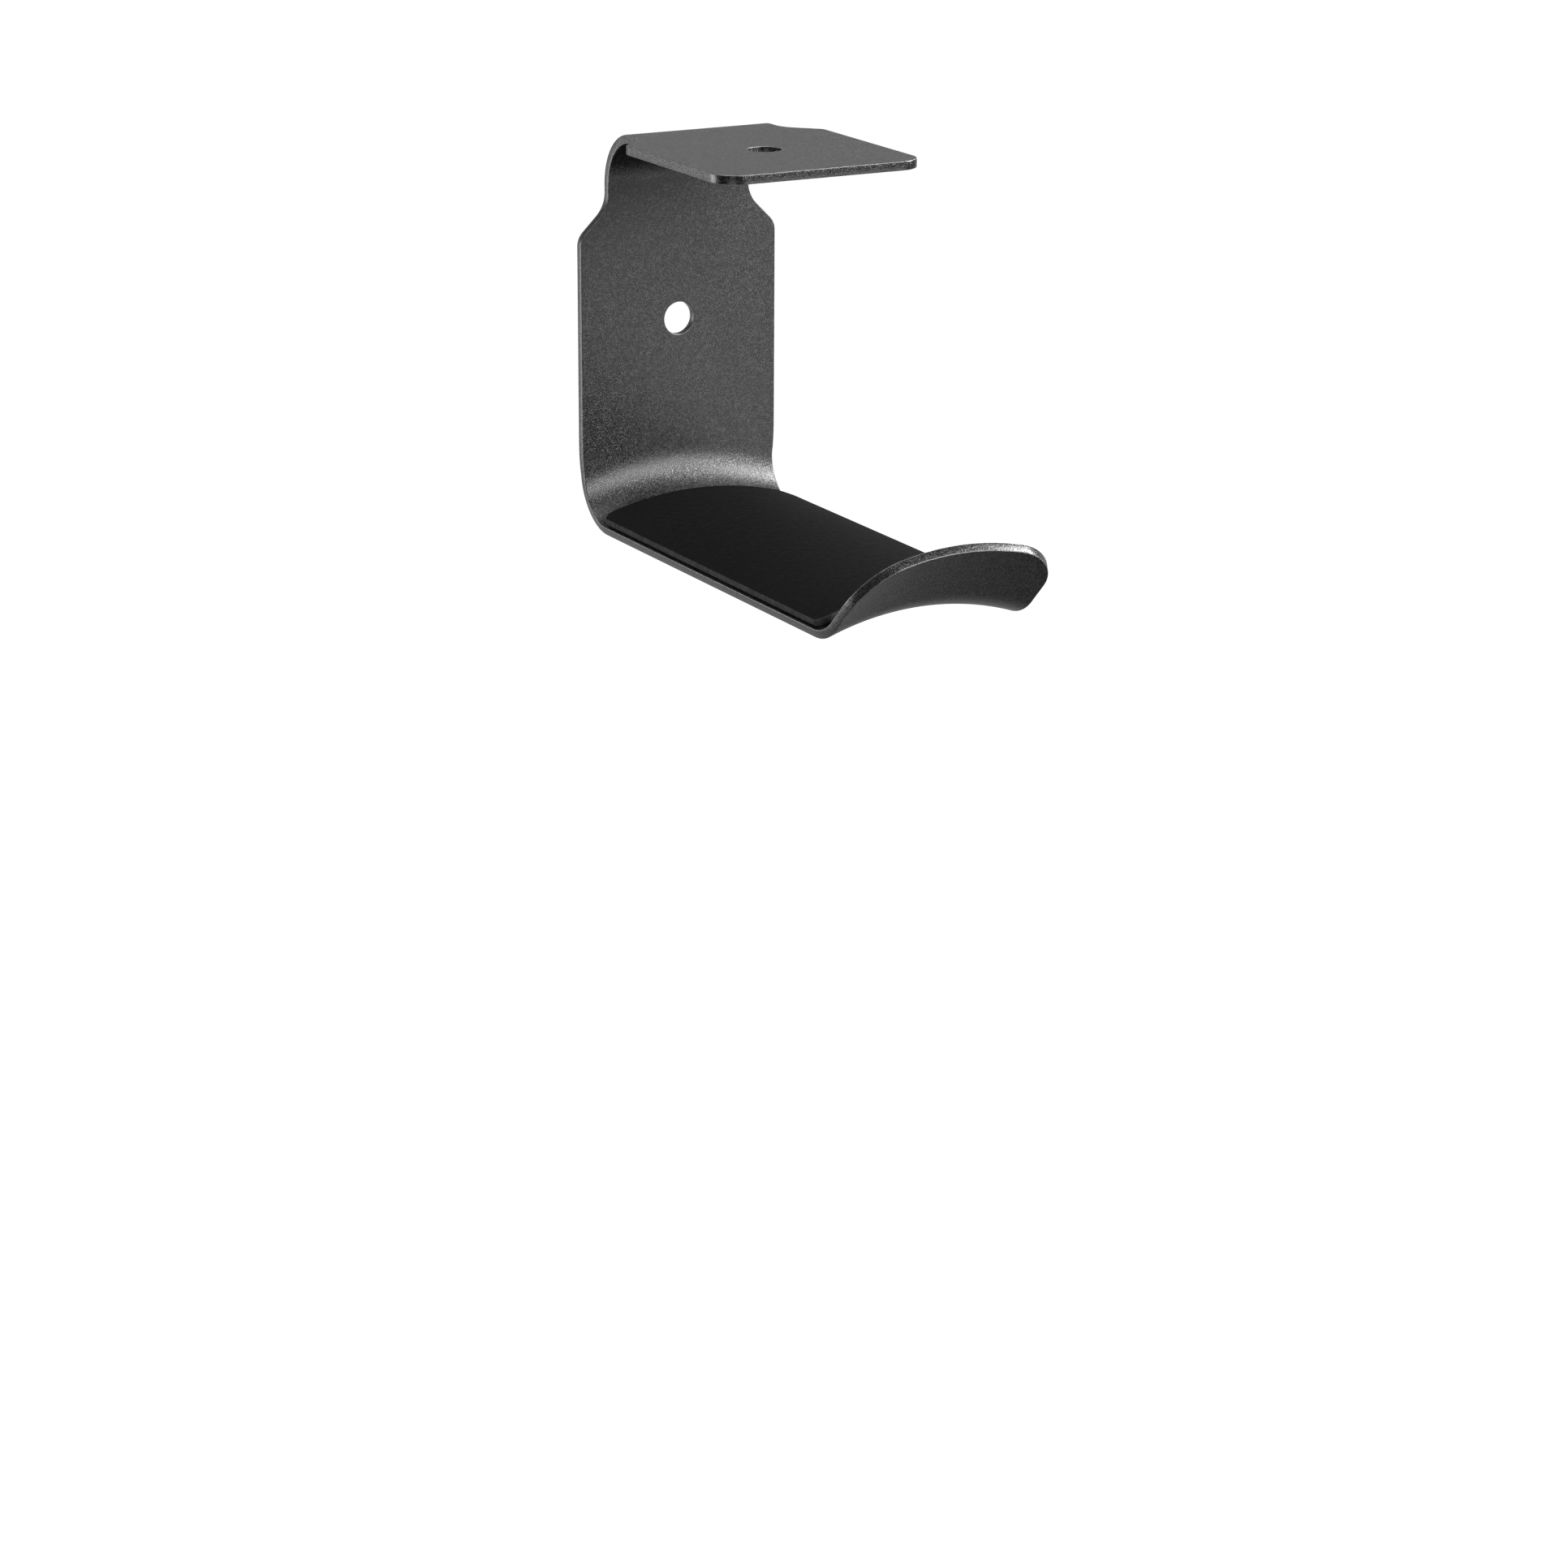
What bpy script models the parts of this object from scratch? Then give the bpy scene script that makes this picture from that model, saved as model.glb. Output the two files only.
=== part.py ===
"""Headphone hook for the underside of a desk, or for a wall.

One laser-cut steel blank is bent into a C and powder coated: a desk flange, a narrow neck,
a back plate, a saddle arched across its width, and a lip. A rubber liner is bonded to the
saddle by a thin adhesive film.

Metres, +Z up, lip towards -Y, centre line on X = 0. The origin lies on the desk face of
the flange, between its screw hole and its front edge.
"""

import math

import bmesh
import bpy
from mathutils import Vector

# Sheet and flat blank. Lengths along the blank run from the flange's front edge.
SHEET = 0.00166                 # steel with its coat on both faces
WIDTH = 0.0400
NECK_NOTCH = 0.0056             # how far the neck is cut in from each side
NECK_FILLET = 0.0060            # concave corner where the shoulder meets the neck
SHOULDER_CORNER = 0.0035        # convex corner where the plate's shoulder meets its side
FLANGE_SHOULDER_CORNER = 0.0016
NECK_REACH = 0.0143             # top rear corner to the shoulders, along flange and plate
SHOULDER_RISE = 0.0055          # length of a shoulder along the blank
FLANGE_CORNER = 0.0047
LIP_CORNER = 0.0077

# Bent section, inner (concave) face.
FLANGE_LENGTH = 0.0563          # flange's front edge to the back plate's rear face
TOP_BEND = 0.0087
DROP = 0.07155                  # desk face to the saddle's upper face, at its side edges
REAR_BEND = 0.0080
SADDLE_REACH = 0.0860           # back plate's front face to the start of the lip's bend
LIP_BEND = 0.0085
LIP_ANGLE = math.radians(44.6)
LIP_LENGTH = 0.0135

# Arch across the width.
SADDLE_ARCH = 0.0600            # radius along the saddle
LIP_ARCH = 0.0500               # radius at the lip's edge

# Screw holes and the place of the origin.
SCREW_HOLE = 0.0060             # diameter
FLANGE_HOLE_FROM_EDGE = 0.0221
PLATE_HOLE_BELOW_DESK = 0.0360
ORIGIN_FROM_EDGE = 0.0110

# Liner and its adhesive film.
SEAT_GAP = 0.0003               # clearance between neighbouring pieces
FILM = 0.00015
FILM_INSET = 0.0012             # behind the liner's edge
PAD = 0.0009
PAD_INSET = 0.0004              # behind the saddle's side edge
PAD_CORNER = 0.0028
PAD_INTO_REAR_BEND = 0.0016     # liner's rear edge laps this far up the rear bend
PAD_INTO_LIP_BEND = 0.0030      # liner's front edge laps this far up the lip's bend

# Mesh fineness.
COLUMNS = 16
CORNER_STEPS = 6
BEND_STEPS = 10
HOLE_SIDES = 40
ROW_GAP = 0.00005               # rows closer than this are one row

HALF_WIDTH = WIDTH / 2
FLANGE_RUN = FLANGE_LENGTH - SHEET - TOP_BEND
PLATE_RUN = DROP - SHEET - TOP_BEND - REAR_BEND
SADDLE_RUN = SADDLE_REACH - REAR_BEND
TOP_ARC = TOP_BEND * math.pi / 2
REAR_ARC = REAR_BEND * math.pi / 2
LIP_ARC = LIP_BEND * LIP_ANGLE
ARCH_RISE = SADDLE_ARCH * (1 - math.cos(HALF_WIDTH / SADDLE_ARCH))
ARCH_RUN_IN = 3 * ARCH_RISE     # the arch fades out over this stretch of the back plate

# The inner face as (length, turn) stretches. A straight stretch turns by nothing.
SECTION = (
    (FLANGE_RUN, 0.0),
    (TOP_ARC, -math.pi / 2),
    (PLATE_RUN, 0.0),
    (REAR_ARC, -math.pi / 2),
    (SADDLE_RUN, 0.0),
    (LIP_ARC, -LIP_ANGLE),
    (LIP_LENGTH, 0.0),
)
TOP_BEND_START = FLANGE_RUN
PLATE_START = TOP_BEND_START + TOP_ARC
REAR_BEND_START = PLATE_START + PLATE_RUN
SADDLE_START = REAR_BEND_START + REAR_ARC
LIP_BEND_START = SADDLE_START + SADDLE_RUN
LIP_START = LIP_BEND_START + LIP_ARC
BLANK_LENGTH = LIP_START + LIP_LENGTH
DESK_LEVEL = PLATE_START - SHEET - TOP_BEND     # where the plate, run on upwards, meets the desk


def section_at(along):
    """Y, Z and heading of the inner face, this far along the blank."""
    y, z, heading = -ORIGIN_FROM_EDGE, -SHEET, 0.0
    left = along
    for length, turn in SECTION:
        step = min(left, length)
        if turn:
            radius = length / turn
            after = heading + step / radius
            y += radius * (math.sin(after) - math.sin(heading))
            z -= radius * (math.cos(after) - math.cos(heading))
            heading = after
        else:
            y += step * math.cos(heading)
            z += step * math.sin(heading)
        left -= step
        if left <= 0:
            break
    return y, z, heading


def arch_curvature(along):
    """Curvature across the width: none on the plate, full on the saddle, tighter at the lip."""
    if along < REAR_BEND_START:
        share = max(0.0, 1 - (REAR_BEND_START - along) / ARCH_RUN_IN)
        return share ** 2 / SADDLE_ARCH
    share = max(0.0, (along - LIP_BEND_START) / (BLANK_LENGTH - LIP_BEND_START))
    return (1 - share) / SADDLE_ARCH + share / LIP_ARCH


def bent_point(across, along, lift):
    """Place of a point of the flat blank once it is bent, lifted off the inner face."""
    y, z, heading = section_at(along)
    curvature = arch_curvature(along)
    tilt = curvature * across
    x = across
    if curvature:
        x = math.sin(tilt) / curvature
        z += (math.cos(tilt) - math.cos(curvature * HALF_WIDTH)) / curvature
    normal = Vector((
        -math.sin(tilt) * math.cos(heading),
        math.cos(tilt) * math.sin(heading),
        -math.cos(tilt) * math.cos(heading),
    ))
    return Vector((x, y, z)) + lift * normal.normalized()


def rounded(corners):
    """Points of an open outline whose inner corners, (along, half width, radius), are rounded."""
    points = [Vector(corners[0][:2])]
    for before, corner, after in zip(corners, corners[1:], corners[2:]):
        here = Vector(corner[:2])
        back = (Vector(before[:2]) - here).normalized()
        ahead = (Vector(after[:2]) - here).normalized()
        opening = back.angle(ahead)
        radius = corner[2]
        centre = here + (back + ahead).normalized() * radius / math.sin(opening / 2)
        touch = radius / math.tan(opening / 2)
        first = here + back * touch - centre
        sweep = (math.pi - opening) * math.copysign(1, back.x * ahead.y - back.y * ahead.x)
        for step in range(CORNER_STEPS + 1):
            turn = -sweep * step / CORNER_STEPS
            points.append(centre + Vector((
                first.x * math.cos(turn) - first.y * math.sin(turn),
                first.x * math.sin(turn) + first.y * math.cos(turn),
            )))
    points.append(Vector(corners[-1][:2]))
    return points


def half_width_at(outline, along):
    """Half width of the blank, read off its outline."""
    for start, end in zip(outline, outline[1:]):
        if start.x <= along <= end.x and end.x > start.x:
            share = (along - start.x) / (end.x - start.x)
            return start.y + share * (end.y - start.y)
    return outline[-1].y


def rows_of(outline):
    """Distances along the blank at which a slab of this outline gets a row of points."""
    curved = (
        (TOP_BEND_START, TOP_ARC),
        (REAR_BEND_START - ARCH_RUN_IN, ARCH_RUN_IN),
        (REAR_BEND_START, REAR_ARC),
        (LIP_BEND_START, LIP_ARC),
    )
    wanted = [point.x for point in outline]
    for start, length in curved:
        wanted += [start + length * step / BEND_STEPS for step in range(BEND_STEPS + 1)]
    rows = []
    for along in sorted(wanted):
        inside = outline[0].x <= along <= outline[-1].x
        if inside and (not rows or along - rows[-1] > ROW_GAP):
            rows.append(along)
    return rows


def material(name, colour, roughness):
    """Matt dielectric finish."""
    made = bpy.data.materials.new(name)
    made.use_nodes = True
    shader = made.node_tree.nodes["Principled BSDF"]
    shader.inputs["Base Color"].default_value = (*colour, 1)
    shader.inputs["Roughness"].default_value = roughness
    shader.inputs["Metallic"].default_value = 0.0
    return made


def add_object(name, bm, finish):
    """Turn a bmesh into a named object of the scene."""
    bmesh.ops.recalc_face_normals(bm, faces=bm.faces)
    mesh = bpy.data.meshes.new(name)
    bm.to_mesh(mesh)
    bm.free()
    mesh.shade_smooth()
    mesh.set_sharp_from_angle(angle=math.radians(35))
    mesh.materials.append(finish)
    made = bpy.data.objects.new(name, mesh)
    bpy.context.scene.collection.objects.link(made)
    return made


def slab(name, outline, low, high, finish):
    """Closed solid between two lifts off the inner face, as wide as the outline says."""
    rows = rows_of(outline)
    bm = bmesh.new()
    layers = []
    for lift in (low, high):
        grid = []
        for along in rows:
            half = half_width_at(outline, along)
            spread = [half * (2 * column / COLUMNS - 1) for column in range(COLUMNS + 1)]
            grid.append([bm.verts.new(bent_point(across, along, lift)) for across in spread])
        layers.append(grid)
    last = len(rows) - 1
    for grid in layers:
        for row in range(last):
            for column in range(COLUMNS):
                bm.faces.new((
                    grid[row][column],
                    grid[row][column + 1],
                    grid[row + 1][column + 1],
                    grid[row + 1][column],
                ))
    lower, upper = layers
    for row in range(last):
        for side in (0, COLUMNS):
            bm.faces.new((
                lower[row][side],
                lower[row + 1][side],
                upper[row + 1][side],
                upper[row][side],
            ))
    for row in (0, last):
        for column in range(COLUMNS):
            bm.faces.new((
                lower[row][column],
                lower[row][column + 1],
                upper[row][column + 1],
                upper[row][column],
            ))
    return add_object(name, bm, finish)


def cut_screw_hole(target, name, along, finish):
    """Round hole through the sheet, square to it, on the centre line."""
    inner = bent_point(0, along, SHEET)
    outer = bent_point(0, along, -2 * SHEET)
    axis = outer - inner
    bm = bmesh.new()
    bmesh.ops.create_cone(
        bm,
        cap_ends=True,
        segments=HOLE_SIDES,
        radius1=SCREW_HOLE / 2,
        radius2=SCREW_HOLE / 2,
        depth=axis.length,
    )
    cutter = add_object(name, bm, finish)
    cutter.location = (inner + outer) / 2
    cutter.rotation_mode = "QUATERNION"
    cutter.rotation_quaternion = axis.to_track_quat("Z", "Y")
    cutter.hide_render = True
    cutter.display_type = "WIRE"
    cut = target.modifiers.new(name, "BOOLEAN")
    cut.operation = "DIFFERENCE"
    cut.solver = "EXACT"
    cut.object = cutter


def blank_outline():
    """Right-hand half of the flat blank, from the flange's front edge to the lip's edge."""
    neck = HALF_WIDTH - NECK_NOTCH
    flange_neck = FLANGE_LENGTH - NECK_REACH
    plate_neck = DESK_LEVEL + NECK_REACH
    outline = rounded((
        (0, 0),
        (0, HALF_WIDTH, FLANGE_CORNER),
        (flange_neck - SHOULDER_RISE, HALF_WIDTH, FLANGE_SHOULDER_CORNER),
        (flange_neck, neck, NECK_FILLET),
        (plate_neck, neck, NECK_FILLET),
        (plate_neck + SHOULDER_RISE, HALF_WIDTH, SHOULDER_CORNER),
        (BLANK_LENGTH, HALF_WIDTH, LIP_CORNER),
        (BLANK_LENGTH, 0),
    ))
    return outline[1:-1]


def liner_outline(inset):
    """Right-hand half of the liner, or of the film under it when it is inset."""
    start = SADDLE_START - PAD_INTO_REAR_BEND + inset
    end = LIP_BEND_START + PAD_INTO_LIP_BEND - inset
    half = HALF_WIDTH - PAD_INSET - inset
    corner = PAD_CORNER - inset
    outline = rounded((
        (start, 0),
        (start, half, corner),
        (end, half, corner),
        (end, 0),
    ))
    return outline[1:-1]


def build():
    for old in list(bpy.data.objects):
        bpy.data.objects.remove(old, do_unlink=True)

    powder_coat = material("black powder coat", (0.045, 0.045, 0.047), 0.45)
    rubber = material("black rubber", (0.018, 0.018, 0.018), 0.6)
    adhesive = material("adhesive film", (0.01, 0.01, 0.01), 0.5)

    bracket = slab("bracket", blank_outline(), -SHEET, 0.0, powder_coat)
    plate_hole = DESK_LEVEL + PLATE_HOLE_BELOW_DESK
    cut_screw_hole(bracket, "flange_screw_hole", FLANGE_HOLE_FROM_EDGE, powder_coat)
    cut_screw_hole(bracket, "plate_screw_hole", plate_hole, powder_coat)

    film_foot = SEAT_GAP
    film_top = film_foot + FILM
    pad_foot = film_top + SEAT_GAP
    pad_top = pad_foot + PAD
    slab("pad_adhesive", liner_outline(FILM_INSET), film_foot, film_top, adhesive)
    slab("saddle_pad", liner_outline(0.0), pad_foot, pad_top, rubber)


build()
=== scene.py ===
import math

import bmesh
import bpy
import numpy as np
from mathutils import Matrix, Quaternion, Vector
from mathutils.geometry import delaunay_2d_cdt


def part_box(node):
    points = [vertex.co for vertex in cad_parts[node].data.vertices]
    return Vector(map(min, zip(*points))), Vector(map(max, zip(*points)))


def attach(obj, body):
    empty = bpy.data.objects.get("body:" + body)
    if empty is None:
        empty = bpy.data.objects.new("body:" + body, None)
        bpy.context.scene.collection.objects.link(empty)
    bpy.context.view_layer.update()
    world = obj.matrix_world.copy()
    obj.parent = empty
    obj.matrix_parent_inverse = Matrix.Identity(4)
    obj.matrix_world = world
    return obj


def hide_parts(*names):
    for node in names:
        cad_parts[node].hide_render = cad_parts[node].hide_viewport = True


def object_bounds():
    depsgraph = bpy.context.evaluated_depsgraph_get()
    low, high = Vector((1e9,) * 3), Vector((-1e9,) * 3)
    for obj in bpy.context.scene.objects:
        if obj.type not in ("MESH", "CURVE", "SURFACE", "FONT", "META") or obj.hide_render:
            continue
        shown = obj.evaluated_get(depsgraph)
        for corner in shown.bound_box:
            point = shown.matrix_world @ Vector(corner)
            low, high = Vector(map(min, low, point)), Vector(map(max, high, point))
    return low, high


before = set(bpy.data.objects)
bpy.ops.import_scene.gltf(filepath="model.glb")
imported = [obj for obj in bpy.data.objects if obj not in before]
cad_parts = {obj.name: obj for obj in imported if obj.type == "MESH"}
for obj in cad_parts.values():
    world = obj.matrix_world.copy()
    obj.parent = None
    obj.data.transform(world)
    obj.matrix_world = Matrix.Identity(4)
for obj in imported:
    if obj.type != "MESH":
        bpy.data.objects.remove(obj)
cad_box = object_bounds()


# ---- Camera -------------------------------------------------------------------------------
# A short telephoto lens looks down on the hook from its front left, a little above the
# desk face, with the lip towards it.

LENS_MM = 102.69
SENSOR_MM = 36.0
EYE = Vector((-0.37364, -0.67468, 0.13007))
EYE_AZIMUTH = math.radians(-28.876)
EYE_ELEVATION = math.radians(17.535)
EYE_ROLL = math.radians(0.306)

lens = bpy.data.cameras.new("camera")
lens.lens = LENS_MM
lens.sensor_width = SENSOR_MM
camera = bpy.data.objects.new("camera", lens)
looking_back = Vector((
    math.sin(EYE_AZIMUTH) * math.cos(EYE_ELEVATION),
    -math.cos(EYE_AZIMUTH) * math.cos(EYE_ELEVATION),
    math.sin(EYE_ELEVATION),
))
camera.location = EYE
camera.rotation_mode = "QUATERNION"
camera.rotation_quaternion = (
    (-looking_back).to_track_quat("-Z", "Y") @ Quaternion((0, 0, 1), EYE_ROLL)
)
bpy.context.scene.collection.objects.link(camera)
bpy.context.scene.camera = camera


# ---- Bracket ------------------------------------------------------------------------------
# The hook's one load-bearing piece: 1.5 mm steel, laser cut to a flat blank with two screw
# holes, tumbled so that its edges are slightly round, bent on a press into a C with an
# arched saddle and a lip, and powder coated satin black with a fine grain.

bracket_low, bracket_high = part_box("bracket")
HALF_WIDTH = (bracket_high.x - bracket_low.x) / 2
REAR_FACE = bracket_high.y
ORIGIN_FROM_EDGE = 0.0110
SHEET = 0.00166
NECK_NOTCH = 0.0056
NECK_FILLET = 0.0060
SHOULDER_CORNER = 0.0035
FLANGE_SHOULDER_CORNER = 0.0016
NECK_REACH = 0.0143
SHOULDER_RISE = 0.0055
FLANGE_CORNER = 0.0047
LIP_CORNER = 0.0077
TOP_BEND = 0.0087
DROP = 0.07155
REAR_BEND = 0.0080
SADDLE_REACH = 0.0860
LIP_BEND = 0.0085
LIP_ANGLE = math.radians(44.6)
LIP_LENGTH = 0.0135
SADDLE_ARCH = 0.0600
LIP_ARCH = 0.0500
SCREW_HOLE = 0.0060
FLANGE_HOLE_FROM_EDGE = 0.0221
PLATE_HOLE_BELOW_DESK = 0.0360
ARRIS = 0.00018                 # radius of the tumbled edges

FLANGE_LENGTH = REAR_FACE + ORIGIN_FROM_EDGE
TOP_ARC = TOP_BEND * math.pi / 2
REAR_ARC = REAR_BEND * math.pi / 2
LIP_ARC = LIP_BEND * LIP_ANGLE
TOP_BEND_START = FLANGE_LENGTH - SHEET - TOP_BEND
PLATE_START = TOP_BEND_START + TOP_ARC
REAR_BEND_START = PLATE_START + DROP - SHEET - TOP_BEND - REAR_BEND
SADDLE_START = REAR_BEND_START + REAR_ARC
LIP_BEND_START = SADDLE_START + SADDLE_REACH - REAR_BEND
BLANK_LENGTH = LIP_BEND_START + LIP_ARC + LIP_LENGTH
DESK_LEVEL = PLATE_START - SHEET - TOP_BEND
ARCH_RUN_IN = 3 * SADDLE_ARCH * (1 - math.cos(HALF_WIDTH / SADDLE_ARCH))

CORNER_STEPS = 20
HOLE_STEPS = 96
ARRIS_STEPS = 4
EDGE_STEP = 0.0005              # between points along a cut edge
FACE_STEP = 0.0010              # between points across a face
BEND_STEP = 0.0004              # between rows along the blank, where it is bent
FLAT_STEP = 0.0015              # and where it is flat
BEND_POINTS = 96                # on each bend of the section
FLATTEST = 0.001                # curvature of a flat stretch, above nought to divide by
SAME_POINT = 1e-9


def rounded(corners):
    """Points of an open outline whose inner corners, (along, half width, radius), are rounded."""
    points = [Vector(corners[0][:2])]
    for before, corner, after in zip(corners, corners[1:], corners[2:]):
        here = Vector(corner[:2])
        back = (Vector(before[:2]) - here).normalized()
        ahead = (Vector(after[:2]) - here).normalized()
        opening = back.angle(ahead)
        radius = corner[2]
        centre = here + (back + ahead).normalized() * radius / math.sin(opening / 2)
        first = here + back * radius / math.tan(opening / 2) - centre
        sweep = (math.pi - opening) * math.copysign(1, back.x * ahead.y - back.y * ahead.x)
        for step in range(CORNER_STEPS + 1):
            turn = -sweep * step / CORNER_STEPS
            points.append(centre + Vector((
                first.x * math.cos(turn) - first.y * math.sin(turn),
                first.x * math.sin(turn) + first.y * math.cos(turn),
            )))
    return points[1:]


def cut_line(half_outline):
    """Closed run of points (across, along) round the blank, from its right-hand half."""
    right = [(point.y, point.x) for point in half_outline]
    left = [(-across, along) for across, along in reversed(right)]
    corners = np.array(right + left)
    finer = []
    for start, end in zip(corners, np.roll(corners, -1, axis=0)):
        length = np.hypot(*(end - start))
        if length > SAME_POINT:
            parts = max(1, round(length / EDGE_STEP))
            finer += [start + (end - start) * part / parts for part in range(parts)]
    return np.array(finer)


def screw_hole(along):
    """Closed run of points round a hole, clockwise, so that the steel is on its left."""
    turns = -2 * math.pi * np.arange(HOLE_STEPS) / HOLE_STEPS
    radius = SCREW_HOLE / 2
    return np.stack([radius * np.cos(turns), along + radius * np.sin(turns)], axis=1)


def set_in(line, inset):
    """The run of points moved into the material on its left."""
    ahead = np.roll(line, -1, axis=0) - line
    ahead /= np.linalg.norm(ahead, axis=1, keepdims=True)
    behind = np.roll(ahead, 1, axis=0)
    left = np.stack([-(ahead + behind)[:, 1], (ahead + behind)[:, 0]], axis=1)
    left /= np.linalg.norm(left, axis=1, keepdims=True)
    square = left[:, 0] * -ahead[:, 1] + left[:, 1] * ahead[:, 0]
    return line + inset * left / square[:, None]


def edge_profile(low, high, radius):
    """(inset, lift, share of the way onto the cut edge) from the inner face to the outer face.

    The first and last rings lie flat, one radius in from where the round arris begins.
    """
    turns = [math.pi / 2 * step / ARRIS_STEPS for step in range(ARRIS_STEPS + 1)]
    upper = [(2 * radius, high, 0.0)]
    for turn in turns:
        inset = radius * (1 - math.sin(turn))
        upper.append((inset, high - radius * (1 - math.cos(turn)), turn / (math.pi / 2)))
    lower = [(inset, low + high - lift, share) for inset, lift, share in reversed(upper)]
    return upper + lower


def inside(line, points):
    """Which points lie inside a closed line."""
    found = np.zeros(len(points), bool)
    for start, end in zip(line, np.roll(line, -1, axis=0)):
        if start[1] == end[1]:
            continue
        crosses = (points[:, 1] < start[1]) != (points[:, 1] < end[1])
        share = (points[:, 1] - start[1]) / (end[1] - start[1])
        found ^= crosses & (points[:, 0] < start[0] + share * (end[0] - start[0]))
    return found


def on_material(lines, points):
    """Which points lie inside the first closed line and outside the others."""
    found = inside(lines[0], points)
    for hole in lines[1:]:
        found &= ~inside(hole, points)
    return found


def face_points(lines):
    """Points spread over the face between closed lines, closer together where it is bent."""
    border = np.concatenate(lines)
    bends = (
        (TOP_BEND_START, PLATE_START),
        (REAR_BEND_START - ARCH_RUN_IN, SADDLE_START),
        (LIP_BEND_START, LIP_BEND_START + LIP_ARC),
    )
    spread = []
    along = border[:, 1].min()
    row = 0
    while along < border[:, 1].max():
        shift = FACE_STEP / 2 * (row % 2)
        for across in np.arange(-HALF_WIDTH + shift, HALF_WIDTH, FACE_STEP):
            spread.append((across, along))
        bent = any(start - FLAT_STEP <= along <= end for start, end in bends)
        along += BEND_STEP if bent else FLAT_STEP
        row += 1
    spread = np.array(spread)
    spread = spread[on_material(lines, spread)]
    clear = [np.hypot(*(border - point).T).min() > EDGE_STEP for point in spread]
    return spread[clear]


def filled(lines, spread):
    """Triangles that fill the space between closed lines, as indices into lines then spread."""
    points = np.concatenate([*lines, spread])
    edges = []
    start = 0
    for line in lines:
        count = len(line)
        edges += [(start + step, start + (step + 1) % count) for step in range(count)]
        start += count
    to_mm = 1000
    flat = [Vector(point) for point in points * to_mm]
    _, _, faces, origin, _, _ = delaunay_2d_cdt(flat, edges, [], 1, 1e-7)
    faces = np.array([[origin[corner][0] for corner in face] for face in faces])
    return faces[on_material(lines, points[faces].mean(axis=1))].tolist()


def cut_sheet(name, half_outline, holes, low, high, radius):
    """Flat piece with round arrises, at (across, along, lift), not bent yet."""
    lines = [cut_line(half_outline), *(screw_hole(along) for along in holes)]
    profile = edge_profile(low, high, radius)
    bm = bmesh.new()
    on_edge = bm.verts.layers.float.new("cut_edge")
    edge_run = bm.loops.layers.uv.new("edge_run")
    rims = ([], [])
    for line in lines:
        rings = []
        for inset, lift, share in profile:
            ring = [bm.verts.new((*point, lift)) for point in set_in(line, inset)]
            for vert in ring:
                vert[on_edge] = share
            rings.append(ring)
        steps = np.hypot(*(np.roll(line, -1, axis=0) - line).T)
        runs = np.concatenate([[0], np.cumsum(steps)])
        for upper, lower, above, below in zip(rings, rings[1:], profile, profile[1:]):
            for step in range(len(line)):
                after = (step + 1) % len(line)
                face = bm.faces.new((upper[step], lower[step], lower[after], upper[after]))
                corners = (
                    (runs[step], above[1]),
                    (runs[step], below[1]),
                    (runs[step + 1], below[1]),
                    (runs[step + 1], above[1]),
                )
                for loop, corner in zip(face.loops, corners):
                    loop[edge_run].uv = corner
        rims[0].append(rings[0])
        rims[1].append(rings[-1])
    inner_lines = [set_in(line, profile[0][0]) for line in lines]
    spread = face_points(inner_lines)
    triangles = filled(inner_lines, spread)
    for rim, lift, turned in ((rims[0], high, False), (rims[1], low, True)):
        verts = [vert for ring in rim for vert in ring]
        verts += [bm.verts.new((*point, lift)) for point in spread]
        for corners in triangles:
            ordered = corners[::-1] if turned else corners
            face = bm.faces.new([verts[corner] for corner in ordered])
            for loop in face.loops:
                loop[edge_run].uv = loop.vert.co.xy
    mesh = bpy.data.meshes.new(name)
    bm.to_mesh(mesh)
    bm.free()
    mesh.shade_smooth()
    made = bpy.data.objects.new(name, mesh)
    bpy.context.scene.collection.objects.link(made)
    return made


def add(tree, kind, inputs=None, **settings):
    """A node of the tree with its settings, and its inputs linked or set."""
    made = tree.nodes.new(kind)
    for name, value in settings.items():
        setattr(made, name, value)
    for key, given in (inputs or {}).items():
        if isinstance(given, bpy.types.NodeSocket):
            tree.links.new(given, made.inputs[key])
        else:
            made.inputs[key].default_value = given
    return made


def reckon(tree, operation, *numbers):
    """Output of a Math node."""
    return add(tree, "ShaderNodeMath", dict(enumerate(numbers)), operation=operation).outputs[0]


def choose(tree, kind, index, options):
    """Output of an Index Switch between several numbers or vectors."""
    switch = tree.nodes.new("GeometryNodeIndexSwitch")
    switch.data_type = kind
    while len(switch.index_switch_items) < len(options):
        switch.index_switch_items.new()
    tree.links.new(index, switch.inputs[0])
    for socket, option in zip(switch.inputs[1:], options):
        if isinstance(option, bpy.types.NodeSocket):
            tree.links.new(option, socket)
        else:
            socket.default_value = option
    return switch.outputs[0]


PRESS_SIZES = {
    "Sheet": SHEET,
    "Origin from edge": ORIGIN_FROM_EDGE,
    "Front face": REAR_FACE - SHEET,
    "Top bend": TOP_BEND,
    "Drop": DROP,
    "Rear bend": REAR_BEND,
    "Saddle reach": SADDLE_REACH,
    "Lip bend": LIP_BEND,
    "Lip angle": LIP_ANGLE,
    "Lip length": LIP_LENGTH,
    "Half width": HALF_WIDTH,
    "Saddle arch": SADDLE_ARCH,
    "Lip arch": LIP_ARCH,
    "Arch start": REAR_BEND_START - ARCH_RUN_IN,
    "Arch full": REAR_BEND_START,
    "Lip bend start": LIP_BEND_START,
    "Blank length": BLANK_LENGTH,
}


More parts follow.
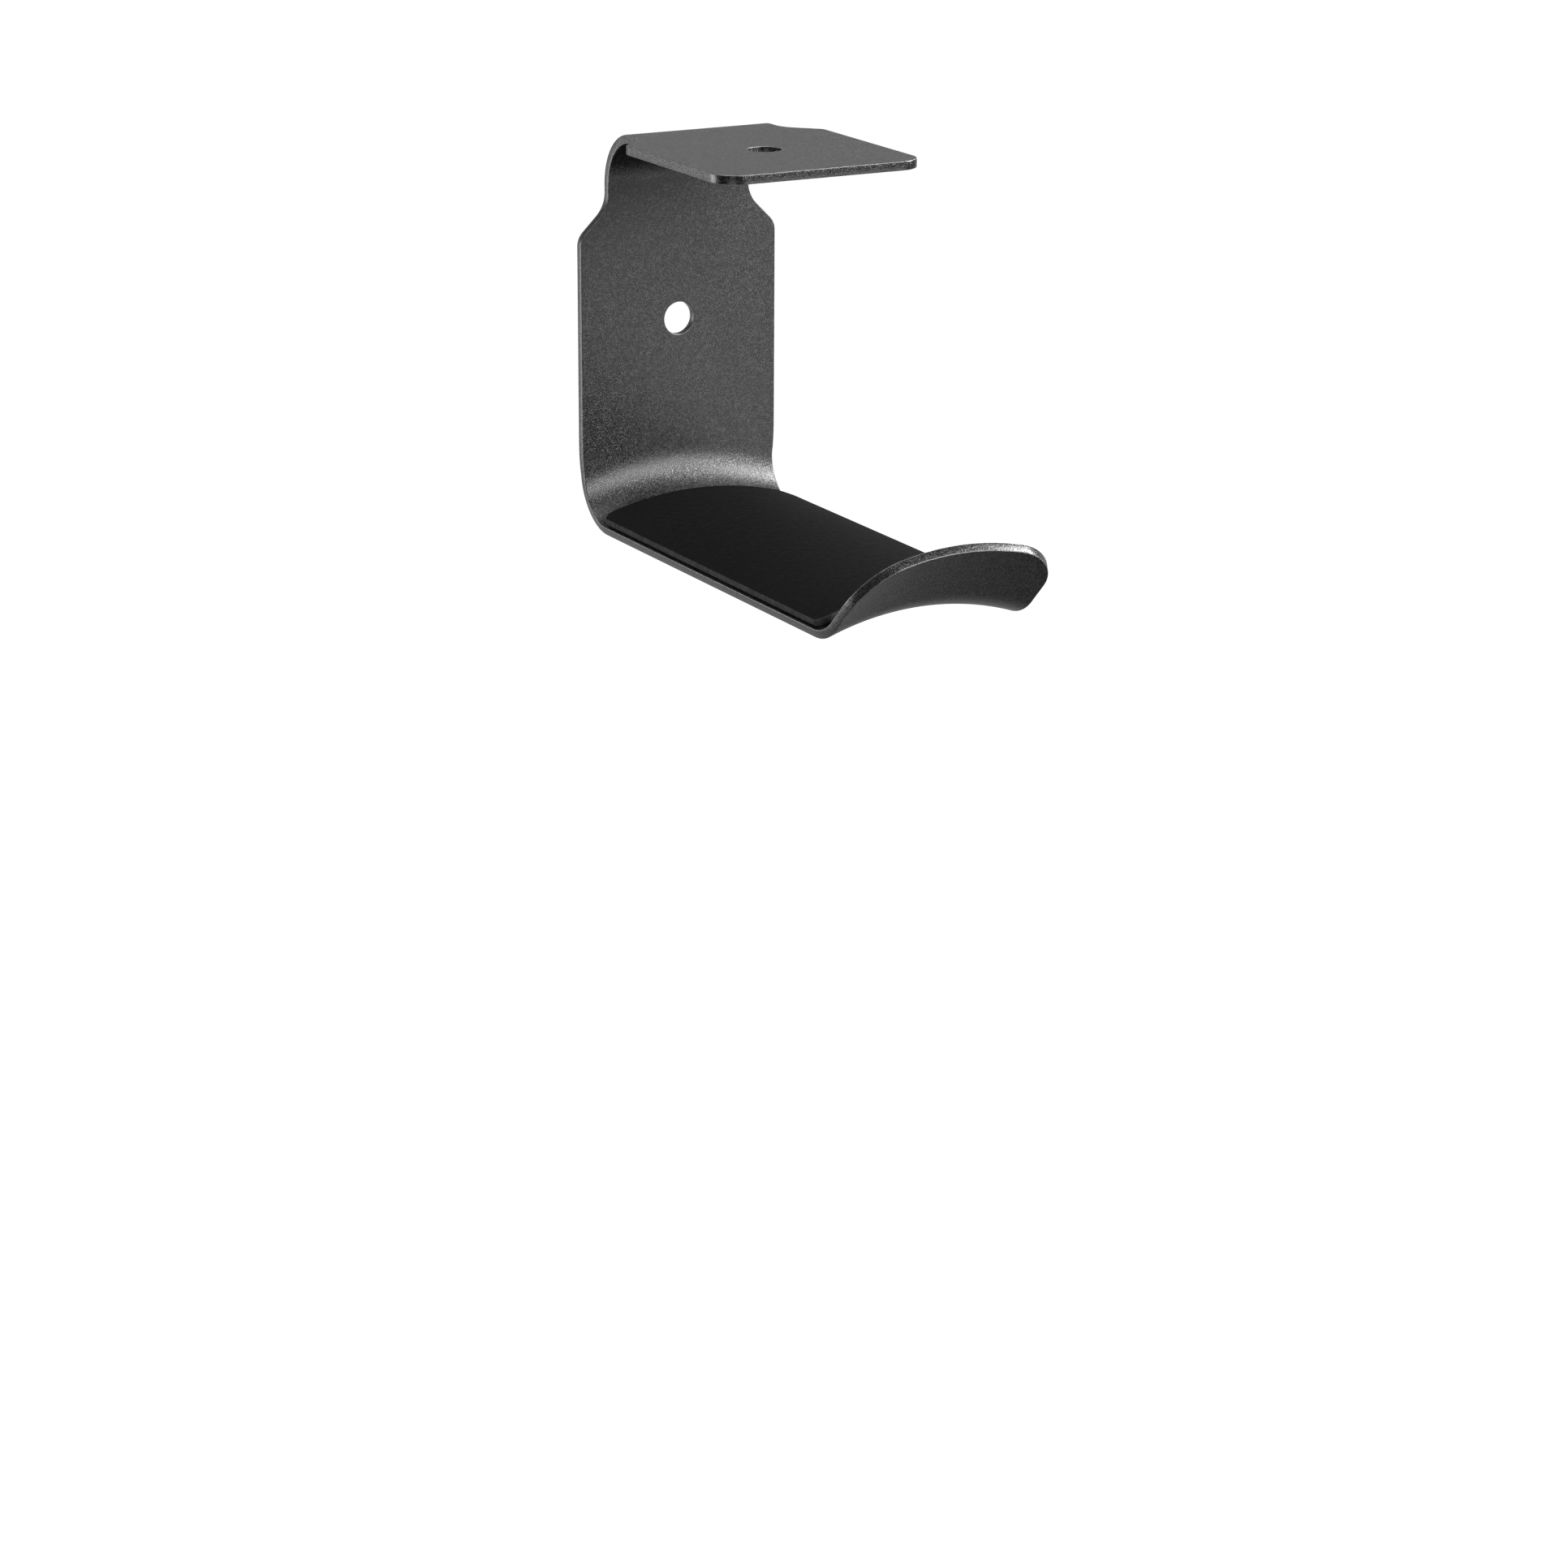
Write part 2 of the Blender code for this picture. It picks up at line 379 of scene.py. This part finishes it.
def press_tree():
    """Geometry Nodes that bend a flat piece at (across, along, lift) to the hook's section."""
    tree = bpy.data.node_groups.new("press", "GeometryNodeTree")
    face = tree.interface
    face.new_socket("Flat piece", in_out="INPUT", socket_type="NodeSocketGeometry")
    face.new_socket("Finish", in_out="INPUT", socket_type="NodeSocketMaterial")
    for name in PRESS_SIZES:
        face.new_socket(name, in_out="INPUT", socket_type="NodeSocketFloat")
    face.new_socket("Bent piece", in_out="OUTPUT", socket_type="NodeSocketGeometry")
    given = tree.nodes.new("NodeGroupInput").outputs

    # The section, a line through five corners with its three inner corners rounded.
    half_turn = reckon(tree, "MULTIPLY", given["Lip angle"], 0.5)
    tangent = reckon(tree, "MULTIPLY", given["Lip bend"], reckon(tree, "TANGENT", half_turn))
    reach = reckon(tree, "ADD", given["Saddle reach"], tangent)
    lip_y = reckon(tree, "SUBTRACT", given["Front face"], reach)
    lip_run = reckon(tree, "ADD", given["Lip length"], tangent)
    lip_out = reckon(tree, "MULTIPLY", lip_run, reckon(tree, "COSINE", given["Lip angle"]))
    lip_up = reckon(tree, "MULTIPLY", lip_run, reckon(tree, "SINE", given["Lip angle"]))
    edge_y = reckon(tree, "MULTIPLY", given["Origin from edge"], -1.0)
    flange_z = reckon(tree, "MULTIPLY", given["Sheet"], -1.0)
    saddle_z = reckon(tree, "MULTIPLY", given["Drop"], -1.0)
    corners = (
        (edge_y, flange_z),
        (given["Front face"], flange_z),
        (given["Front face"], saddle_z),
        (lip_y, saddle_z),
        (reckon(tree, "SUBTRACT", lip_y, lip_out), reckon(tree, "ADD", saddle_z, lip_up)),
    )
    places = [
        add(tree, "ShaderNodeCombineXYZ", {"Y": y, "Z": z}).outputs[0] for y, z in corners
    ]
    radii = (0.0, given["Top bend"], given["Rear bend"], given["Lip bend"], 0.0)
    index = tree.nodes.new("GeometryNodeInputIndex").outputs[0]
    place = choose(tree, "VECTOR", index, places)
    points = add(tree, "GeometryNodePoints", {"Count": len(corners), "Position": place})
    line = add(tree, "GeometryNodePointsToCurves", {"Points": points.outputs[0]})
    radius = choose(tree, "FLOAT", index, radii)
    section = add(
        tree,
        "GeometryNodeFilletCurve",
        {"Curve": line.outputs[0], "Count": BEND_POINTS, "Radius": radius},
        mode="POLY",
    )

    # Where each point's place along the blank falls on the section.
    position = tree.nodes.new("GeometryNodeInputPosition").outputs[0]
    split = add(tree, "ShaderNodeSeparateXYZ", {0: position}).outputs
    across, along, lift = split
    on_section = add(
        tree,
        "GeometryNodeSampleCurve",
        {"Curves": section.outputs[0], "Length": along},
        mode="LENGTH",
    )
    heading = add(
        tree, "ShaderNodeSeparateXYZ", {0: on_section.outputs["Tangent"]}
    ).outputs

    # Curvature across the width: it fades in down the back plate and tightens at the lip.
    fade_in = add(tree, "ShaderNodeMapRange", {
        "Value": along,
        "From Min": given["Arch start"],
        "From Max": given["Arch full"],
    }).outputs[0]
    at_saddle = reckon(
        tree, "DIVIDE", reckon(tree, "MULTIPLY", fade_in, fade_in), given["Saddle arch"]
    )
    at_lip = add(tree, "ShaderNodeMapRange", {
        "Value": along,
        "From Min": given["Lip bend start"],
        "From Max": given["Blank length"],
        "To Max": reckon(
            tree,
            "SUBTRACT",
            reckon(tree, "DIVIDE", 1.0, given["Lip arch"]),
            reckon(tree, "DIVIDE", 1.0, given["Saddle arch"]),
        ),
    }).outputs[0]
    curvature = reckon(tree, "MAXIMUM", reckon(tree, "ADD", at_saddle, at_lip), FLATTEST)

    # The arch itself: a circle across the width, level with the section at the side edges.
    tilt = reckon(tree, "MULTIPLY", curvature, across)
    edge_tilt = reckon(tree, "MULTIPLY", curvature, given["Half width"])
    sine = reckon(tree, "SINE", tilt)
    cosine = reckon(tree, "COSINE", tilt)
    aside = reckon(tree, "DIVIDE", sine, curvature)
    sum_half = reckon(tree, "MULTIPLY", reckon(tree, "ADD", edge_tilt, tilt), 0.5)
    gap_half = reckon(tree, "MULTIPLY", reckon(tree, "SUBTRACT", edge_tilt, tilt), 0.5)
    product = reckon(
        tree, "MULTIPLY", reckon(tree, "SINE", sum_half), reckon(tree, "SINE", gap_half)
    )
    rise = reckon(tree, "DIVIDE", reckon(tree, "MULTIPLY", product, 2.0), curvature)
    arched = add(tree, "ShaderNodeCombineXYZ", {"X": aside, "Z": rise}).outputs[0]

    # The way to the inner side, square to the sheet.
    level = reckon(tree, "MULTIPLY", heading[1], -1.0)
    inwards = add(tree, "ShaderNodeCombineXYZ", {
        "X": reckon(tree, "MULTIPLY", sine, level),
        "Y": reckon(tree, "MULTIPLY", cosine, heading[2]),
        "Z": reckon(tree, "MULTIPLY", cosine, level),
    }).outputs[0]
    square = add(tree, "ShaderNodeVectorMath", {0: inwards}, operation="NORMALIZE").outputs[0]
    lifted = add(
        tree, "ShaderNodeVectorMath", {0: square, "Scale": lift}, operation="SCALE"
    ).outputs[0]
    on_line = add(
        tree,
        "ShaderNodeVectorMath",
        {0: on_section.outputs["Position"], 1: arched},
        operation="ADD",
    ).outputs[0]
    bent = add(
        tree, "ShaderNodeVectorMath", {0: on_line, 1: lifted}, operation="ADD"
    ).outputs[0]

    moved = add(
        tree, "GeometryNodeSetPosition", {"Geometry": given["Flat piece"], "Position": bent}
    )
    # Bending turns the pattern over, so its faces are flipped to face outwards again.
    flipped = add(tree, "GeometryNodeFlipFaces", {"Mesh": moved.outputs[0]})
    real = add(tree, "GeometryNodeRealizeInstances", {"Geometry": flipped.outputs[0]})
    coated = add(
        tree,
        "GeometryNodeSetMaterial",
        {"Geometry": real.outputs[0], "Material": given["Finish"]},
    )
    tree.links.new(coated.outputs[0], tree.nodes.new("NodeGroupOutput").inputs[0])
    return tree


PRESS = press_tree()


def bend(flat, finish):
    """Bends a flat piece, and leaves a plain mesh of it."""
    press = flat.modifiers.new("press", "NODES")
    press.node_group = PRESS
    for item in PRESS.interface.items_tree:
        if item.name in PRESS_SIZES:
            press[item.identifier] = PRESS_SIZES[item.name]
        elif item.name == "Finish":
            press[item.identifier] = finish
    graph = bpy.context.evaluated_depsgraph_get()
    bent = bpy.data.meshes.new_from_object(
        flat.evaluated_get(graph), preserve_all_data_layers=True, depsgraph=graph
    )
    flat.modifiers.clear()
    flat.data = bent
    bent.name = flat.name
    return flat


def new_finish(name):
    """A material, its node tree and its shader."""
    made = bpy.data.materials.new(name)
    made.use_nodes = True
    return made, made.node_tree, made.node_tree.nodes["Principled BSDF"]


def ramp(tree, value, low, high, to_low=0.0, to_high=1.0):
    """Output of a clamped Map Range."""
    return add(tree, "ShaderNodeMapRange", {
        "Value": value,
        "From Min": low,
        "From Max": high,
        "To Min": to_low,
        "To Max": to_high,
    }).outputs[0]


def blended(tree, share, first, second):
    """Output of a colour mix."""
    mix = add(tree, "ShaderNodeMix", data_type="RGBA")
    for key, given in ((0, share), (6, first), (7, second)):
        if isinstance(given, bpy.types.NodeSocket):
            tree.links.new(given, mix.inputs[key])
        else:
            mix.inputs[key].default_value = given
    return mix.outputs[2]


SPECKS = 4600.0                 # coat's grain: about five specks to a millimetre
PEEL = 1300.0                   # its orange peel, a millimetre or so across
CLOUDS = 160.0                  # and the soft change in its depth
STREAKS = (800.0, 5200.0, 1.0)  # cutting marks: along the edge, and through the sheet
COAT_BLACK = (0.001, 0.001, 0.001, 1)
SPECK_GREY = (0.108, 0.108, 0.109, 1)
CLOUD_GREY = (0.012, 0.012, 0.012, 1)
EDGE_BLACK = (0.005, 0.005, 0.005, 1)
EDGE_GREY = (0.120, 0.120, 0.120, 1)
# Lighter arris lines: partly a thinner, greyer coat, partly a painted highlight standing in for
# glints along the arrises.
ARRIS_GREY_AND_PAINTED_GLINT = (0.22, 0.22, 0.22, 1)
HOLLOW_ROUGH = 0.38
SPECK_ROUGH = 0.26
EDGE_ROUGH = 0.24
COAT_RELIEF = 0.000022


def powder_coat():
    """Satin black coat: specks and orange peel on the faces, streaks on the cut edges, and a
    thinner, greyer film on the tumbled arrises, with a painted highlight along them."""
    made, tree, shader = new_finish("satin_black_powder_coat")
    place = tree.nodes.new("ShaderNodeTexCoord").outputs["Object"]
    specks = add(tree, "ShaderNodeTexVoronoi", {"Vector": place, "Scale": SPECKS})
    grain = ramp(tree, specks.outputs["Distance"], 0.12, 0.55, 1.0, 0.0)
    cloud = add(tree, "ShaderNodeTexNoise", {
        "Vector": place, "Scale": CLOUDS, "Detail": 3.0, "Roughness": 0.55,
    }).outputs["Fac"]
    peel = add(tree, "ShaderNodeTexNoise", {
        "Vector": place, "Scale": PEEL, "Detail": 1.0, "Roughness": 0.5,
    }).outputs["Fac"]
    run = add(tree, "ShaderNodeUVMap", uv_map="edge_run").outputs[0]
    stretched = add(tree, "ShaderNodeMapping", {"Vector": run, "Scale": STREAKS}).outputs[0]
    streaks = add(tree, "ShaderNodeTexNoise", {
        "Vector": stretched, "Scale": 1.0, "Detail": 3.0, "Roughness": 0.6,
    }).outputs["Fac"]
    on_edge = add(tree, "ShaderNodeAttribute", attribute_name="cut_edge").outputs["Fac"]
    edge_share = ramp(tree, on_edge, 0.15, 0.85)

    # Colour: the faces, then the cut edges, then the arrises between the two, where a
    # painted highlight is laid over the thinner coat.
    brightness = reckon(tree, "MULTIPLY", grain, ramp(tree, peel, 0.35, 0.65, 0.45, 1.0))
    face_colour = blended(tree, brightness, COAT_BLACK, SPECK_GREY)
    cloud_share = ramp(tree, cloud, 0.35, 0.65, 0.0, 0.20)
    face_colour = blended(tree, cloud_share, face_colour, CLOUD_GREY)
    streak_share = reckon(tree, "MULTIPLY", ramp(tree, streaks, 0.35, 0.70), grain)
    edge_colour = blended(tree, streak_share, EDGE_BLACK, EDGE_GREY)
    coat_colour = blended(tree, edge_share, face_colour, edge_colour)
    # The arrises: a thinner, greyer coat, lightened further with a painted highlight.
    off_arris = reckon(tree, "ABSOLUTE", reckon(tree, "SUBTRACT", on_edge, 0.5))
    arris_wear_and_glint_share = reckon(
        tree,
        "MULTIPLY",
        ramp(tree, off_arris, 0.08, 0.36, 1.0, 0.0),
        ramp(tree, streaks, 0.35, 0.65, 0.35, 1.0),
    )
    colour = blended(tree, arris_wear_and_glint_share, coat_colour, ARRIS_GREY_AND_PAINTED_GLINT)
    tree.links.new(colour, shader.inputs["Base Color"])

    face_rough = ramp(tree, grain, 0.0, 1.0, HOLLOW_ROUGH, SPECK_ROUGH)
    rough = add(tree, "ShaderNodeMix", {0: edge_share, 2: face_rough, 3: EDGE_ROUGH})
    tree.links.new(rough.outputs[0], shader.inputs["Roughness"])

    # Relief: grain and peel on the faces, streaks and a little grain on the cut edges.
    face_height = reckon(tree, "ADD", grain, reckon(tree, "MULTIPLY", peel, 1.5))
    edge_height = reckon(tree, "ADD", reckon(tree, "MULTIPLY", grain, 0.6), streaks)
    height = add(tree, "ShaderNodeMix", {0: edge_share, 2: face_height, 3: edge_height})
    bump = add(tree, "ShaderNodeBump", {
        "Height": height.outputs[0], "Strength": 1.0, "Distance": COAT_RELIEF,
    })
    tree.links.new(bump.outputs[0], shader.inputs["Normal"])
    shader.inputs["Specular IOR Level"].default_value = 0.5
    return made


neck = HALF_WIDTH - NECK_NOTCH
flange_neck = FLANGE_LENGTH - NECK_REACH
plate_neck = DESK_LEVEL + NECK_REACH
blank_outline = rounded((
    (0, 0),
    (0, HALF_WIDTH, FLANGE_CORNER),
    (flange_neck - SHOULDER_RISE, HALF_WIDTH, FLANGE_SHOULDER_CORNER),
    (flange_neck, neck, NECK_FILLET),
    (plate_neck, neck, NECK_FILLET),
    (plate_neck + SHOULDER_RISE, HALF_WIDTH, SHOULDER_CORNER),
    (BLANK_LENGTH, HALF_WIDTH, LIP_CORNER),
    (BLANK_LENGTH, 0),
))
holes = (FLANGE_HOLE_FROM_EDGE, DESK_LEVEL + PLATE_HOLE_BELOW_DESK)
bracket = bend(
    cut_sheet("coated_bracket", blank_outline, holes, -SHEET, 0.0, ARRIS), powder_coat()
)
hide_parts("bracket")
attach(bracket, "root")


# ---- Saddle liner -------------------------------------------------------------------------
# A die-cut strip of smooth black rubber, about a millimetre thick with round corners, that
# keeps the headband off the steel. It is bonded down, so it follows the saddle's arch and
# laps a little way into both bends.

LINER_FOOT = 0.00040
LINER_TOP = 0.00165
LINER_INSET = 0.0004
LINER_CORNER = 0.0028
LINER_ARRIS = 0.00028
LINER_INTO_REAR_BEND = 0.0016
LINER_INTO_LIP_BEND = 0.0030


def liner_outline(inset):
    """Right-hand half of the liner, or of the film under it when it is inset."""
    start = SADDLE_START - LINER_INTO_REAR_BEND + inset
    end = LIP_BEND_START + LINER_INTO_LIP_BEND - inset
    half = HALF_WIDTH - LINER_INSET - inset
    corner = LINER_CORNER - inset
    return rounded(((start, 0), (start, half, corner), (end, half, corner), (end, 0)))


SKIN = 900.0                    # faint unevenness of the moulded sheet
# The liner's top: black rubber, darkened further with painted shade as if something above shaded
# it.
RUBBER_BLACK_AND_PAINTED_SHADE = (0.0024, 0.0024, 0.0025, 1)
RUBBER_MOTTLE_AND_PAINTED_SHADE = (0.0036, 0.0036, 0.0037, 1)
RUBBER_CUT_DARK = (0.028, 0.028, 0.028, 1)
RUBBER_CUT_GREY = (0.050, 0.050, 0.050, 1)
RUBBER_SHINE = 0.07
SKIN_RELIEF = 0.00002


def rubber():
    """Smooth matt rubber, a little greyer on its cut edge, its top darkened with painted shade.
    """
    made, tree, shader = new_finish("smooth_black_rubber")
    place = tree.nodes.new("ShaderNodeTexCoord").outputs["Object"]
    skin = add(tree, "ShaderNodeTexNoise", {
        "Vector": place, "Scale": SKIN, "Detail": 3.0, "Roughness": 0.6,
    }).outputs["Fac"]
    on_edge = add(tree, "ShaderNodeAttribute", attribute_name="cut_edge").outputs["Fac"]
    # The top's colour holds painted shade as well as the rubber's own black.
    top = blended(tree, ramp(tree, skin, 0.35, 0.65), RUBBER_BLACK_AND_PAINTED_SHADE, RUBBER_MOTTLE_AND_PAINTED_SHADE)
    side = blended(tree, ramp(tree, skin, 0.35, 0.65), RUBBER_CUT_DARK, RUBBER_CUT_GREY)
    colour = blended(tree, ramp(tree, on_edge, 0.0, 0.4), top, side)
    tree.links.new(colour, shader.inputs["Base Color"])
    tree.links.new(ramp(tree, skin, 0.3, 0.7, 0.80, 0.70), shader.inputs["Roughness"])
    bump = add(tree, "ShaderNodeBump", {
        "Height": skin, "Strength": 0.3, "Distance": SKIN_RELIEF,
    })
    tree.links.new(bump.outputs[0], shader.inputs["Normal"])
    shader.inputs["Specular IOR Level"].default_value = RUBBER_SHINE
    return made


liner = bend(
    cut_sheet("saddle_liner", liner_outline(0.0), (), LINER_FOOT, LINER_TOP, LINER_ARRIS),
    rubber(),
)
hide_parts("saddle_pad")
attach(liner, "root")


# ---- Adhesive film ------------------------------------------------------------------------
# Double-sided film between the steel and the liner. It stops short of the liner's edge, so
# that all that shows of it is a dark line.

FILM_FOOT = 0.00002
FILM_TOP = 0.00038
FILM_INSET = 0.0009
FILM_ARRIS = 0.00005
FILM_SMEAR = 700.0              # unevenness of the glue
FILM_BLACK = (0.006, 0.006, 0.006, 1)
FILM_GREY = (0.012, 0.012, 0.012, 1)


def film_finish():
    """Matt black film with a slightly uneven surface."""
    made, tree, shader = new_finish("black_adhesive_film")
    place = tree.nodes.new("ShaderNodeTexCoord").outputs["Object"]
    smear = add(tree, "ShaderNodeTexNoise", {
        "Vector": place, "Scale": FILM_SMEAR, "Detail": 2.0,
    }).outputs["Fac"]
    colour = blended(tree, ramp(tree, smear, 0.3, 0.7), FILM_BLACK, FILM_GREY)
    tree.links.new(colour, shader.inputs["Base Color"])
    tree.links.new(ramp(tree, smear, 0.3, 0.7, 0.75, 0.55), shader.inputs["Roughness"])
    return made


film = bend(
    cut_sheet("adhesive_film", liner_outline(FILM_INSET), (), FILM_FOOT, FILM_TOP, FILM_ARRIS),
    film_finish(),
)
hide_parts("pad_adhesive")
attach(film, "root")


# ---- Studio -------------------------------------------------------------------------------
# A plain white floor well below the hook, six soft boxes in front, at the sides and
# overhead, and a white surround. What the coat mirrors of that surround is darker: it is
# brightest low down behind the hook.

FLOOR_LEVEL = -0.80
FLOOR_HALF = 20.0
FLOOR_WHITE = (0.95, 0.95, 0.95, 1)
FLOOR_GLOW = 0.8
WHITE = (1, 1, 1, 1)
BACKDROP_GLOW = 1.2

bm = bmesh.new()
bmesh.ops.create_grid(bm, x_segments=8, y_segments=8, size=FLOOR_HALF)
bmesh.ops.translate(bm, verts=bm.verts, vec=(0, 0, FLOOR_LEVEL))
floor_mesh = bpy.data.meshes.new("floor")
bm.to_mesh(floor_mesh)
bm.free()
floor = bpy.data.objects.new("floor", floor_mesh)
bpy.context.scene.collection.objects.link(floor)
floor_finish, _, floor_shader = new_finish("white_floor")
floor_shader.inputs["Base Color"].default_value = FLOOR_WHITE
floor_shader.inputs["Roughness"].default_value = 1.0
floor_shader.inputs["Specular IOR Level"].default_value = 0.0
floor_shader.inputs["Emission Color"].default_value = WHITE
floor_shader.inputs["Emission Strength"].default_value = FLOOR_GLOW
floor_mesh.materials.append(floor_finish)
# The floor is lit, but sends no light back up, as if it lay much further away.
floor.visible_diffuse = False
floor.visible_glossy = False

world = bpy.data.worlds.new("studio")
world.use_nodes = True
bpy.context.scene.world = world
sky = world.node_tree
sky.nodes.clear()
way = sky.nodes.new("ShaderNodeTexCoord").outputs["Generated"]
lie = add(sky, "ShaderNodeSeparateXYZ", {0: way}).outputs
overhead = ramp(sky, lie["Z"], -0.1, 0.8, 0.03, 0.25)
behind = ramp(sky, lie["Y"], 0.0, 0.7)
low_down = ramp(sky, lie["Z"], 0.12, 0.48, 0.63, 0.02)
level = reckon(sky, "ADD", overhead, reckon(sky, "MULTIPLY", behind, low_down))
surround = add(sky, "ShaderNodeBackground", {"Color": level})
backdrop = add(sky, "ShaderNodeBackground", {"Color": WHITE, "Strength": BACKDROP_GLOW})
seen = sky.nodes.new("ShaderNodeLightPath").outputs["Is Camera Ray"]
mixed = add(
    sky, "ShaderNodeMixShader", {0: seen, 1: surround.outputs[0], 2: backdrop.outputs[0]}
)
sky.links.new(mixed.outputs[0], sky.nodes.new("ShaderNodeOutputWorld").inputs[0])


HOOK_CENTRE = (cad_box[0] + cad_box[1]) / 2
# Each box's place, width and height in metres, and power in watts.
SOFT_BOXES = {
    "low_box": ((0.50, -0.86, -0.42), (0.50, 0.25), 2.0),
    "left_low_box": ((-0.62, -0.78, -0.42), (0.50, 0.50), 1.7),
    "front_box": ((0.33, -0.91, 0.43), (0.30, 0.60), 11.0),
    "right_box": ((0.90, -0.335, 0.43), (0.25, 0.60), 25.0),
    "left_box": ((-0.75, 0.60, -0.15), (0.50, 0.50), 5.0),
    "top_box": ((-0.20, 0.10, 1.10), (0.8, 0.8), 8.0),
}
for name, (place, size, power) in SOFT_BOXES.items():
    data = bpy.data.lights.new(name, "AREA")
    data.shape = "RECTANGLE"
    data.size, data.size_y = size
    data.energy = power
    light = bpy.data.objects.new(name, data)
    light.location = place
    light.rotation_mode = "QUATERNION"
    light.rotation_quaternion = (HOOK_CENTRE - Vector(place)).to_track_quat("-Z", "Y")
    bpy.context.scene.collection.objects.link(light)
bpy.context.scene.view_settings.view_transform = "Standard"
